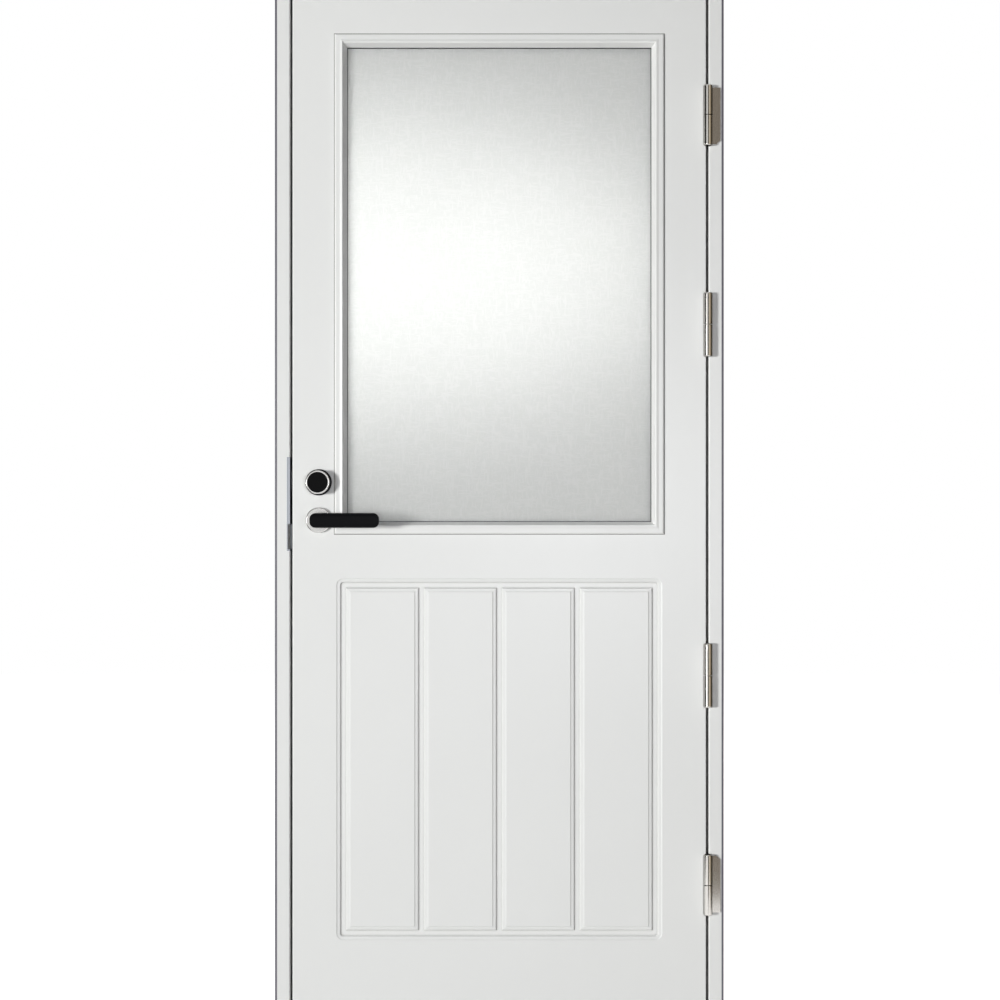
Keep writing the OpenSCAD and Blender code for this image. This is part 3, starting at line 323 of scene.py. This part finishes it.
sprayedBoard, tree, shader, place = newMaterial("sprayedFibreboard")
tonePattern = addNode(tree, "TexNoise", {"Scale": 1000 / skinPaint["toneMm"], "Detail": 3.0},
                      {"Vector": place})
tone = addNode(tree, "Mix", {"data_type": "RGBA", 6: linearColor(skinPaint["whiteHex"]),
                             7: linearColor(skinPaint["otherHex"])}, {0: tonePattern.outputs["Fac"]})
# painted shade: the skins' hollows and the grooves' corners are darkened by their occlusion, which draws the
# grooves' lines
corners = addNode(tree, "AmbientOcclusion", {"samples": skinPaint["cornerShadeSamples"], "only_local": True,
                                             "Distance": skinPaint["cornerShadeReachMm"] / 1000})
cornerShade = addNode(tree, "MapRange", {"From Min": skinPaint["cornerShadeOpen"], "From Max": skinPaint["cornerShadeDeep"]},
               {"Value": corners.outputs["AO"]})
cornerShaded = addNode(tree, "Mix", {"data_type": "RGBA", 7: linearColor(skinPaint["cornerShadeHex"])},
                 {0: cornerShade.outputs[0], 6: tone.outputs[2]})
# painted shadow: a thin grey line in the hairline joint round the window, beside the glazing beads, where
# the beads' edge shades the skin
beyondBeads = outsideBy(tree, place, skinPaint["beadHalfM"], skinPaint["beadMidM"])
jointShadow = addNode(tree, "MapRange", {"From Min": skinPaint["jointShadowMm"] / 1000,
                                   "From Max": skinPaint["jointShadowMm"] / 2000}, {"Value": beyondBeads})
jointShadowed = addNode(tree, "Mix", {"data_type": "RGBA", 7: linearColor(skinPaint["jointShadowHex"])},
                {0: jointShadow.outputs[0], 6: cornerShaded.outputs[2]})
tree.links.new(jointShadowed.outputs[2], shader.inputs["Base Color"])
sheenPattern = addNode(tree, "TexNoise", {"Scale": 1000 / skinPaint["sheenPatchMm"], "Detail": 4.0},
                       {"Vector": place})
sheen = addNode(tree, "MapRange", {"To Min": skinPaint["roughness"][0],
                                   "To Max": skinPaint["roughness"][1]},
                {"Value": sheenPattern.outputs["Fac"]})
tree.links.new(sheen.outputs[0], shader.inputs["Roughness"])
wave = addNode(tree, "TexNoise", {"Scale": 1000 / skinPaint["waveMm"], "Detail": 0.0}, {"Vector": place})
waveBump = addNode(tree, "Bump", {"Strength": skinPaint["waveStrength"],
                                  "Distance": skinPaint["waveDepthMm"] / 1000},
                   {"Height": wave.outputs["Fac"]})
peel = addNode(tree, "TexNoise", {"Scale": 1000 / skinPaint["peelMm"], "Detail": 1.0}, {"Vector": place})
peelBump = addNode(tree, "Bump", {"Strength": skinPaint["peelStrength"],
                                  "Distance": skinPaint["peelDepthMm"] / 1000},
                   {"Height": peel.outputs["Fac"], "Normal": waveBump.outputs[0]})
tree.links.new(peelBump.outputs[0], shader.inputs["Normal"])
assignMaterial(sprayedBoard, "outer_skin", "inner_skin")
print("skins done")


# ---- laminated pine: warm strips with darker late wood; the leaf's outside edges are painted

pineWood = {
    "paleHex": "#d9bd8c", "ringHex": "#b98d54", "ringMm": 7, "ringLengthMm": 420,
    "paintHex": "#e8e8e4", "paintFromM": 0.4045, "paintTopM": 2.0495, "paintBottomM": 0.0325,
    "roughness": 0.55, "poreMm": 0.9, "poreDepthMm": 0.06, "poreStrength": 0.4,
}


def planePine(name, grainAxis):
    material, tree, shader, place = newMaterial(name)
    stretch = [1000 / pineWood["ringMm"]] * 3
    stretch["xyz".index(grainAxis)] = 1000 / pineWood["ringLengthMm"]
    ringPlace = addNode(tree, "Mapping", {"Scale": stretch}, {"Vector": place})
    rings = addNode(tree, "TexNoise", {"Scale": 1.0, "Detail": 5.0, "Distortion": 0.8},
                    {"Vector": ringPlace.outputs[0]})
    wood = addNode(tree, "Mix", {"data_type": "RGBA", 6: linearColor(pineWood["paleHex"]),
                                 7: linearColor(pineWood["ringHex"])}, {0: rings.outputs["Fac"]})
    spot = addNode(tree, "SeparateXYZ", None, {0: place})
    fromMiddle = addNode(tree, "Math", {"operation": "ABSOLUTE"}, {0: spot.outputs["X"]})
    atSide = addNode(tree, "Math", {"operation": "GREATER_THAN", 1: pineWood["paintFromM"]},
                     {0: fromMiddle.outputs[0]})
    atTop = addNode(tree, "Math", {"operation": "GREATER_THAN", 1: pineWood["paintTopM"]},
                    {0: spot.outputs["Z"]})
    atBottom = addNode(tree, "Math", {"operation": "LESS_THAN", 1: pineWood["paintBottomM"]},
                       {0: spot.outputs["Z"]})
    atEnd = addNode(tree, "Math", {"operation": "MAXIMUM"}, {0: atTop.outputs[0], 1: atBottom.outputs[0]})
    atEdge = addNode(tree, "Math", {"operation": "MAXIMUM"}, {0: atEnd.outputs[0], 1: atSide.outputs[0]})
    painted = addNode(tree, "Mix", {"data_type": "RGBA", 7: linearColor(pineWood["paintHex"])},
                      {0: atEdge.outputs[0], 6: wood.outputs[2]})
    tree.links.new(painted.outputs[2], shader.inputs["Base Color"])
    shader.inputs["Roughness"].default_value = pineWood["roughness"]
    pores = addNode(tree, "TexNoise", {"Scale": 1000 / pineWood["poreMm"] / stretch[0], "Detail": 2.0},
                    {"Vector": ringPlace.outputs[0]})
    poreBump = addNode(tree, "Bump", {"Strength": pineWood["poreStrength"],
                                      "Distance": pineWood["poreDepthMm"] / 1000},
                       {"Height": pores.outputs["Fac"]})
    tree.links.new(poreBump.outputs[0], shader.inputs["Normal"])
    return material


assignMaterial(planePine("pineUpright", "z"), "lock_stile", "hinge_stile")
assignMaterial(planePine("pineLevel", "x"), "top_rail", "lock_rail", "bottom_rail")


# ---- oiled oak sill: long grain with dark open pores and a soft dry sheen

oakWood = {
    "paleHex": "#b58c5c", "darkHex": "#7f5a34", "figureMm": 9, "figureLengthMm": 600,
    "poreHex": "#4f3720", "poreMm": 1.6,      # real pores are 0.3 mm wide; drawn coarser so that they show
    "poreLengthMm": 22, "poreFrom": 0.60, "poreFull": 0.70, "poreDepthMm": 0.12, "poreStrength": 0.5,
    "roughness": (0.42, 0.56),
}

oiledOak, tree, shader, place = newMaterial("oiledOak")
across, along = 1000 / oakWood["figureMm"], 1000 / oakWood["figureLengthMm"]
figurePlace = addNode(tree, "Mapping", {"Scale": (along, across, across)}, {"Vector": place})
figure = addNode(tree, "TexNoise", {"Scale": 1.0, "Detail": 6.0, "Distortion": 0.9},
                 {"Vector": figurePlace.outputs[0]})
wood = addNode(tree, "Mix", {"data_type": "RGBA", 6: linearColor(oakWood["paleHex"]),
                             7: linearColor(oakWood["darkHex"])}, {0: figure.outputs["Fac"]})
across, along = 1000 / oakWood["poreMm"], 1000 / oakWood["poreLengthMm"]
porePlace = addNode(tree, "Mapping", {"Scale": (along, across, across)}, {"Vector": place})
pores = addNode(tree, "TexNoise", {"Scale": 1.0, "Detail": 2.0}, {"Vector": porePlace.outputs[0]})
openPores = addNode(tree, "MapRange", {"From Min": oakWood["poreFrom"], "From Max": oakWood["poreFull"]},
                    {"Value": pores.outputs["Fac"]})
marked = addNode(tree, "Mix", {"data_type": "RGBA", 7: linearColor(oakWood["poreHex"])},
                 {0: openPores.outputs[0], 6: wood.outputs[2]})
tree.links.new(marked.outputs[2], shader.inputs["Base Color"])
sheen = addNode(tree, "MapRange", {"To Min": oakWood["roughness"][0], "To Max": oakWood["roughness"][1]},
                {"Value": figure.outputs["Fac"]})
tree.links.new(sheen.outputs[0], shader.inputs["Roughness"])
poreBump = addNode(tree, "Bump", {"Strength": oakWood["poreStrength"], "invert": True,
                                  "Distance": oakWood["poreDepthMm"] / 1000},
                   {"Height": openPores.outputs[0]})
tree.links.new(poreBump.outputs[0], shader.inputs["Normal"])
assignMaterial(oiledOak, "sill")


# ---- rigid foam in the panel: sawn cells, pale yellow, dead matt

foamCore = {"paleHex": "#e0d2a0", "cellHex": "#c6b47c", "roughness": 0.95,
            "cellMm": 3.0, "cellDepthMm": 0.3, "cellStrength": 0.6}

rigidFoam, tree, shader, place = newMaterial("sawnFoam")
cells = addNode(tree, "TexVoronoi", {"Scale": 1000 / foamCore["cellMm"]}, {"Vector": place})
tone = addNode(tree, "Mix", {"data_type": "RGBA", 6: linearColor(foamCore["cellHex"]),
                             7: linearColor(foamCore["paleHex"])}, {0: cells.outputs["Distance"]})
tree.links.new(tone.outputs[2], shader.inputs["Base Color"])
shader.inputs["Roughness"].default_value = foamCore["roughness"]
cellBump = addNode(tree, "Bump", {"Strength": foamCore["cellStrength"],
                                  "Distance": foamCore["cellDepthMm"] / 1000},
                   {"Height": cells.outputs["Distance"]})
tree.links.new(cellBump.outputs[0], shader.inputs["Normal"])
assignMaterial(rigidFoam, "panel_core")


# ---- anodised aluminium, extruded: the sill's cover and the panes' spacer, matt with long die lines

anodised = {"greyHex": "#bcbfc1", "otherHex": "#b2b5b7", "dieLineMm": 1.2, "lineLengthMm": 900,
            "roughness": (0.30, 0.42), "lineDepthMm": 0.02, "lineStrength": 0.4}


def extrudeAluminium(name, lineAxis):
    material, tree, shader, place = newMaterial(name)
    stretch = [1000 / anodised["dieLineMm"]] * 3
    stretch["xyz".index(lineAxis)] = 1000 / anodised["lineLengthMm"]
    linePlace = addNode(tree, "Mapping", {"Scale": stretch}, {"Vector": place})
    lines = addNode(tree, "TexNoise", {"Scale": 1.0, "Detail": 3.0}, {"Vector": linePlace.outputs[0]})
    tone = addNode(tree, "Mix", {"data_type": "RGBA", 6: linearColor(anodised["greyHex"]),
                                 7: linearColor(anodised["otherHex"])}, {0: lines.outputs["Fac"]})
    tree.links.new(tone.outputs[2], shader.inputs["Base Color"])
    shader.inputs["Metallic"].default_value = 1.0
    sheen = addNode(tree, "MapRange", {"To Min": anodised["roughness"][0],
                                       "To Max": anodised["roughness"][1]},
                    {"Value": lines.outputs["Fac"]})
    tree.links.new(sheen.outputs[0], shader.inputs["Roughness"])
    lineBump = addNode(tree, "Bump", {"Strength": anodised["lineStrength"],
                                      "Distance": anodised["lineDepthMm"] / 1000},
                       {"Height": lines.outputs["Fac"]})
    tree.links.new(lineBump.outputs[0], shader.inputs["Normal"])
    return material


assignMaterial(extrudeAluminium("anodisedCover", "x"), "sill_cover")
assignMaterial(extrudeAluminium("anodisedSpacer", "z"), "pane_spacer")


# ---- extruded black rubber: the stop's seal and the panes' gaskets, matt with a grey bloom of dust

sealRubber = {"blackHex": "#19191b", "bloomHex": "#2c2c2f", "bloomMm": 14, "roughness": (0.58, 0.76),
              "specularLevel": 0.3, "skinMm": 1.5, "skinDepthMm": 0.03, "skinStrength": 0.4}

blackRubber, tree, shader, place = newMaterial("extrudedRubber")
bloom = addNode(tree, "TexNoise", {"Scale": 1000 / sealRubber["bloomMm"], "Detail": 5.0}, {"Vector": place})
tone = addNode(tree, "Mix", {"data_type": "RGBA", 6: linearColor(sealRubber["blackHex"]),
                             7: linearColor(sealRubber["bloomHex"])}, {0: bloom.outputs["Fac"]})
tree.links.new(tone.outputs[2], shader.inputs["Base Color"])
sheen = addNode(tree, "MapRange", {"To Min": sealRubber["roughness"][0],
                                   "To Max": sealRubber["roughness"][1]},
                {"Value": bloom.outputs["Fac"]})
tree.links.new(sheen.outputs[0], shader.inputs["Roughness"])
shader.inputs["Specular IOR Level"].default_value = sealRubber["specularLevel"]
skin = addNode(tree, "TexNoise", {"Scale": 1000 / sealRubber["skinMm"], "Detail": 2.0}, {"Vector": place})
skinBump = addNode(tree, "Bump", {"Strength": sealRubber["skinStrength"],
                                  "Distance": sealRubber["skinDepthMm"] / 1000},
                   {"Height": skin.outputs["Fac"]})
tree.links.new(skinBump.outputs[0], shader.inputs["Normal"])
assignMaterial(blackRubber, "frame_seal", "outer_gasket", "inner_gasket")


# ---- metals: each is steel with its own colour, polish and direction of the finishing marks

markStrength = 0.4
steelFinishes = {
    # zinc plating is bluish and a little cloudy
    "zincPlated": {"hex": "#b9bec6", "otherHex": "#9fa3a8", "markMm": (2.5, 2.5, 2.5),
                   "edgeHex": "#b0b0b4", "roughness": (0.24, 0.44), "depthMm": 0.02},
    # satin steel of the lock's plates: fine upright marks from the belt
    "satinSteel": {"hex": "#a9adb3", "otherHex": "#989ca2", "markMm": (0.8, 0.8, 60),
                   "edgeHex": "#b0b0b4", "roughness": (0.26, 0.40), "depthMm": 0.012},
    # polished stainless of the hinges: nearly a mirror, with a faint haze
    "polishedStainless": {"hex": "#cfcdca", "otherHex": "#c2bfba", "markMm": (1.6, 1.6, 9),
                          "edgeHex": "#4a4846", "roughness": (0.10, 0.15), "depthMm": 0.002},
    # painted shade on the ring behind the knob: a dry, near black steel skin that stands in for the knob's
    # shadow falling on it
    "shadowBlackSteel": {"hex": "#1c1c1e", "otherHex": "#26262a", "markMm": (1.2, 1.2, 1.2),
                       "edgeHex": "#3a3a3c", "roughness": (0.34, 0.48), "depthMm": 0.012},
    # brushed stainless of the roses and levers: level marks that spread the highlight upward
    "brushedStainless": {"hex": "#d2d1cf", "otherHex": "#c4c3c1", "markMm": (45, 0.7, 0.7),
                         "edgeHex": "#6a6967", "roughness": (0.17, 0.28), "depthMm": 0.010},
}


def finishSteel(name):
    finish = steelFinishes[name]
    material, tree, shader, place = newMaterial(name)
    markPlace = addNode(tree, "Mapping", {"Scale": [1000 / size for size in finish["markMm"]]},
                        {"Vector": place})
    marks = addNode(tree, "TexNoise", {"Scale": 1.0, "Detail": 3.0}, {"Vector": markPlace.outputs[0]})
    tone = addNode(tree, "Mix", {"data_type": "RGBA", 6: linearColor(finish["hex"]),
                                 7: linearColor(finish["otherHex"])}, {0: marks.outputs["Fac"]})
    tree.links.new(tone.outputs[2], shader.inputs["Base Color"])
    shader.inputs["Metallic"].default_value = 1.0
    # on the polished, brushed and blackened steels this glancing tint is dark: painted shade that darkens
    # their reflections into dark outlines along curved sides
    shader.inputs["Specular Tint"].default_value = linearColor(finish["edgeHex"])    # at glancing angles
    sheen = addNode(tree, "MapRange", {"To Min": finish["roughness"][0], "To Max": finish["roughness"][1]},
                    {"Value": marks.outputs["Fac"]})
    tree.links.new(sheen.outputs[0], shader.inputs["Roughness"])
    markBump = addNode(tree, "Bump", {"Strength": markStrength, "Distance": finish["depthMm"] / 1000},
                       {"Height": marks.outputs["Fac"]})
    tree.links.new(markBump.outputs[0], shader.inputs["Normal"])
    return material


assignMaterial(finishSteel("zincPlated"), "corner_screws", "frame_screws", "leaf_screws")
assignMaterial(finishSteel("satinSteel"), "strike_plate", "lock_case", "forend", "latch_bolt", "dead_bolt",
               "follower", "spindle", "cylinder_core")
assignMaterial(finishSteel("polishedStainless"), "hinge_pins",
               *[f"hinge_{number}_{half}_half" for number in (1, 2, 3, 4) for half in ("frame", "leaf")])
assignMaterial(finishSteel("brushedStainless"), "outer_rose", "inner_rose", "thumbturn_ring",
               "outer_lever", "inner_lever", "knob_body", "thumbturn")
assignMaterial(finishSteel("shadowBlackSteel"), "knob_ring")
print("metals done")


# ---- moulded black plastic of the grips and setting blocks: fine spark texture, dead black, soft sheen

grippedPlastic = {
    "blackHex": "#060608", "otherHex": "#09090c", "roughness": (0.30, 0.40), "specularLevel": 0.06,
    "textureMm": 1.1,          # coarser than the real 0.2 mm so that it shows
    "textureDepthMm": 0.02, "textureStrength": 0.5,
}

mouldedBlack, tree, shader, place = newMaterial("mouldedBlackPlastic")
grit = addNode(tree, "TexNoise", {"Scale": 1000 / grippedPlastic["textureMm"], "Detail": 3.0},
               {"Vector": place})
tone = addNode(tree, "Mix", {"data_type": "RGBA", 6: linearColor(grippedPlastic["blackHex"]),
                             7: linearColor(grippedPlastic["otherHex"])}, {0: grit.outputs["Fac"]})
tree.links.new(tone.outputs[2], shader.inputs["Base Color"])
sheen = addNode(tree, "MapRange", {"To Min": grippedPlastic["roughness"][0],
                                   "To Max": grippedPlastic["roughness"][1]}, {"Value": grit.outputs["Fac"]})
tree.links.new(sheen.outputs[0], shader.inputs["Roughness"])
shader.inputs["Specular IOR Level"].default_value = grippedPlastic["specularLevel"]
gritBump = addNode(tree, "Bump", {"Strength": grippedPlastic["textureStrength"],
                                  "Distance": grippedPlastic["textureDepthMm"] / 1000},
                   {"Height": grit.outputs["Fac"]})
tree.links.new(gritBump.outputs[0], shader.inputs["Normal"])
assignMaterial(mouldedBlack, "outer_grip", "inner_grip", "glass_blocks")


# ---- the knob's face: polished black acrylic, clear lacquer over it, faint rubbing marks

knobLacquer = {"blackHex": "#050506", "otherHex": "#09090b", "rubMm": 6, "roughness": (0.10, 0.22),
               "specularLevel": 0.05, "coatRoughness": 0.08, "coatWeight": 0.06}

glossBlack, tree, shader, place = newMaterial("glossBlackFace")
rubbing = addNode(tree, "TexNoise", {"Scale": 1000 / knobLacquer["rubMm"], "Detail": 6.0}, {"Vector": place})
tone = addNode(tree, "Mix", {"data_type": "RGBA", 6: linearColor(knobLacquer["blackHex"]),
                             7: linearColor(knobLacquer["otherHex"])}, {0: rubbing.outputs["Fac"]})
tree.links.new(tone.outputs[2], shader.inputs["Base Color"])
sheen = addNode(tree, "MapRange", {"To Min": knobLacquer["roughness"][0],
                                   "To Max": knobLacquer["roughness"][1]}, {"Value": rubbing.outputs["Fac"]})
tree.links.new(sheen.outputs[0], shader.inputs["Roughness"])
shader.inputs["Specular IOR Level"].default_value = knobLacquer["specularLevel"]
shader.inputs["Coat Weight"].default_value = knobLacquer["coatWeight"]
shader.inputs["Coat Roughness"].default_value = knobLacquer["coatRoughness"]
assignMaterial(glossBlack, "knob_face")
print("plastics done")


# ---- frosted glass: a neutral grey pane pressed with a soft fibrous pattern that blurs all behind it

frostedPane = {
    "paleHex": "#cfcfcf", "otherHex": "#c7c8c7", "transmission": 0.74, "roughness": 0.58, "ior": 1.52,
    "fibreMm": 6, "fibreLengthMm": 26,        # coarser than the real 2 mm so that they show
    "fibreFrom": 0.48, "fibreFull": 0.66, "fibreDepthMm": 0.28, "fibreStrength": 0.5,
    # painted shade in the next line: a near-black line on the glass along the beads
    "edgeShadeHex": "#1e1e20", "edgeShadeMm": 1.7,
    "sightHalfM": (0.3025, 0.4715), "sightMidM": 1.469,    # edge of the glass that the beads leave in sight
}

frostedGlass, tree, shader, place = newMaterial("frostedPane")
shader.inputs["Transmission Weight"].default_value = frostedPane["transmission"]
shader.inputs["Roughness"].default_value = frostedPane["roughness"]
shader.inputs["IOR"].default_value = frostedPane["ior"]
fibre, length = 1000 / frostedPane["fibreMm"], 1000 / frostedPane["fibreLengthMm"]
uprightFibres = addNode(tree, "Mapping", {"Scale": (fibre, fibre, length)}, {"Vector": place})
upright = addNode(tree, "TexNoise", {"Scale": 1.0, "Detail": 2.0, "Distortion": 1.6},
                  {"Vector": uprightFibres.outputs[0]})
levelFibres = addNode(tree, "Mapping", {"Scale": (length, fibre, fibre)}, {"Vector": place})
level = addNode(tree, "TexNoise", {"Scale": 1.0, "Detail": 2.0, "Distortion": 1.6},
                {"Vector": levelFibres.outputs[0]})
crossed = addNode(tree, "Math", {"operation": "MAXIMUM"},
                  {0: upright.outputs["Fac"], 1: level.outputs["Fac"]})
ridges = addNode(tree, "MapRange", {"From Min": frostedPane["fibreFrom"],
                                    "From Max": frostedPane["fibreFull"]}, {"Value": crossed.outputs[0]})
tone = addNode(tree, "Mix", {"data_type": "RGBA", 6: linearColor(frostedPane["otherHex"]),
                             7: linearColor(frostedPane["paleHex"])}, {0: ridges.outputs[0]})
# painted shade: a thin near-black line on the glass along the beads, where their foot shades it
beyondSight = outsideBy(tree, place, frostedPane["sightHalfM"], frostedPane["sightMidM"])
edgeShade = addNode(tree, "MapRange", {"From Min": -frostedPane["edgeShadeMm"] / 1000,
                                  "From Max": -frostedPane["edgeShadeMm"] / 2000}, {"Value": beyondSight})
edgeShaded = addNode(tree, "Mix", {"data_type": "RGBA", 7: linearColor(frostedPane["edgeShadeHex"])},
                 {0: edgeShade.outputs[0], 6: tone.outputs[2]})
tree.links.new(edgeShaded.outputs[2], shader.inputs["Base Color"])
fibreBump = addNode(tree, "Bump", {"Strength": frostedPane["fibreStrength"],
                                   "Distance": frostedPane["fibreDepthMm"] / 1000},
                    {"Height": crossed.outputs[0]})
tree.links.new(fibreBump.outputs[0], shader.inputs["Normal"])
assignMaterial(frostedGlass, "outer_pane")


# ---- clear float glass inside: the faintest green, and a slight roll in its surface

clearPane = {"tintHex": "#f6f8f7", "otherHex": "#f4f6f5", "transmission": 1.0, "roughness": 0.0,
             "ior": 1.52, "rollMm": 220, "rollDepthMm": 0.04, "rollStrength": 0.3}

clearGlass, tree, shader, place = newMaterial("clearPane")
roll = addNode(tree, "TexNoise", {"Scale": 1000 / clearPane["rollMm"], "Detail": 0.0}, {"Vector": place})
tone = addNode(tree, "Mix", {"data_type": "RGBA", 6: linearColor(clearPane["tintHex"]),
                             7: linearColor(clearPane["otherHex"])}, {0: roll.outputs["Fac"]})
tree.links.new(tone.outputs[2], shader.inputs["Base Color"])
shader.inputs["Transmission Weight"].default_value = clearPane["transmission"]
shader.inputs["Roughness"].default_value = clearPane["roughness"]
shader.inputs["IOR"].default_value = clearPane["ior"]
rollBump = addNode(tree, "Bump", {"Strength": clearPane["rollStrength"],
                                  "Distance": clearPane["rollDepthMm"] / 1000},
                   {"Height": roll.outputs["Fac"]})
tree.links.new(rollBump.outputs[0], shader.inputs["Normal"])
assignMaterial(clearGlass, "inner_pane")
print("glass done")
